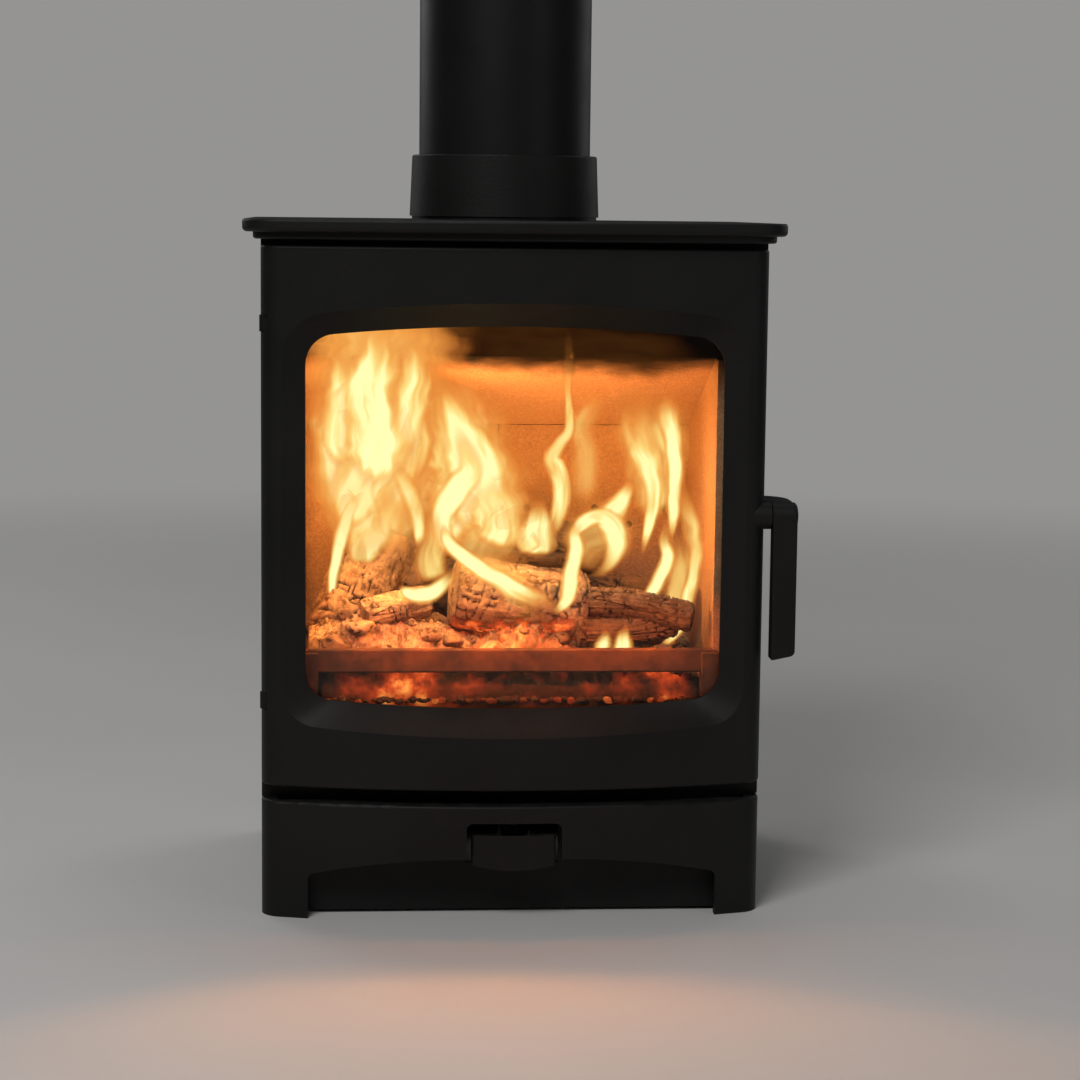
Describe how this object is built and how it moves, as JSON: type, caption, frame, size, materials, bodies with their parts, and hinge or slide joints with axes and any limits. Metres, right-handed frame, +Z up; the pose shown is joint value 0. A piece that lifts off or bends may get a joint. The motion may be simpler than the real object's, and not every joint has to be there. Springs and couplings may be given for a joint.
{
  "type": "wood burning stove",
  "caption": "Small free-standing wood burning stove with a bowed glazed door, lift handle, pull-out air control, arched base and a top flue with its first pipe.",
  "frame": {"origin": "on the floor, in the middle of the body's width and depth", "axes": "+Z up, -Y the door side, +X to the right of someone facing the door"},
  "size_m": [0.4777, 0.3775, 0.87],
  "materials": {
    "black_casting": "matt black stove paint on a fine casting",
    "black_sheet": "matt black stove paint on steel sheet",
    "grate_iron": "bare, heat-browned casting",
    "bare_steel": "dull zinc-plated or bare steel",
    "fire_brick": "rough vermiculite board",
    "ceramic_glass": "clear ceramic glass",
    "seal_rope": "dark braided glass-fibre rope"
  },
  "bodies": {
    "stove": {"base_frame": "black_casting", "plinth_panel": "black_sheet", "front_frame": "black_casting", "side_panel_left": "black_sheet", "side_panel_right": "black_sheet", "back_panel": "black_sheet", "floor_plate": "black_sheet", "hearth_plate": "black_sheet", "grate": "grate_iron", "ash_pan": "bare_steel", "duct_plate": "black_sheet", "back_brick_left": "fire_brick", "back_brick_right": "fire_brick", "side_brick_left": "fire_brick", "side_brick_right": "fire_brick", "baffle_plate": "fire_brick", "airwash_strip": "black_sheet", "guard_bracket_left": "grate_iron", "guard_bracket_right": "grate_iron", "top_plate": "black_casting", "flue_collar": "black_casting", "collar_bolts": "bare_steel", "flue_pipe": "black_sheet", "pipe_seal": "seal_rope", "rear_cover": "black_casting", "rear_bolts": "bare_steel", "hinge_bracket_upper": "black_casting", "hinge_bracket_lower": "black_casting", "hinge_pin_upper": "bare_steel", "hinge_pin_lower": "bare_steel", "hinge_screws": "bare_steel", "latch_keep": "black_casting", "keep_pin": "bare_steel", "keep_screws": "bare_steel", "air_chest": "black_sheet", "air_rail_left": "black_sheet", "air_rail_right": "black_sheet"},
    "door": {"door_frame": "black_casting", "door_glass": "ceramic_glass", "glass_gasket": "seal_rope", "glass_clips": "bare_steel", "clip_screws": "bare_steel", "door_rope": "seal_rope"},
    "handle": {"handle_lever": "black_casting", "handle_spindle": "bare_steel", "latch_nose": "bare_steel"},
    "air_control": {"air_tab": "black_casting", "air_rod": "bare_steel", "air_slide": "bare_steel"},
    "log_guard": {"log_guard": "grate_iron"}
  },
  "joints": [
    {"name": "door_hinge", "type": "hinge", "parent": "stove", "child": "door", "pos_m": [-0.212, -0.146, 0.35], "axis": [0, 0, -1], "range_deg": [0, 110]},
    {"name": "handle_lift", "type": "hinge", "parent": "door", "child": "handle", "pos_m": [0.227, -0.149, 0.349], "axis": [-1, 0, 0], "range_deg": [0, 75]},
    {"name": "air_pull", "type": "slide", "parent": "stove", "child": "air_control", "axis": [0, -1, 0], "range_m": [0, 0.025]},
    {"name": "guard_lift", "type": "slide", "parent": "stove", "child": "log_guard", "axis": [0, 0, 1], "range_m": [0, 0.045]}
  ]
}
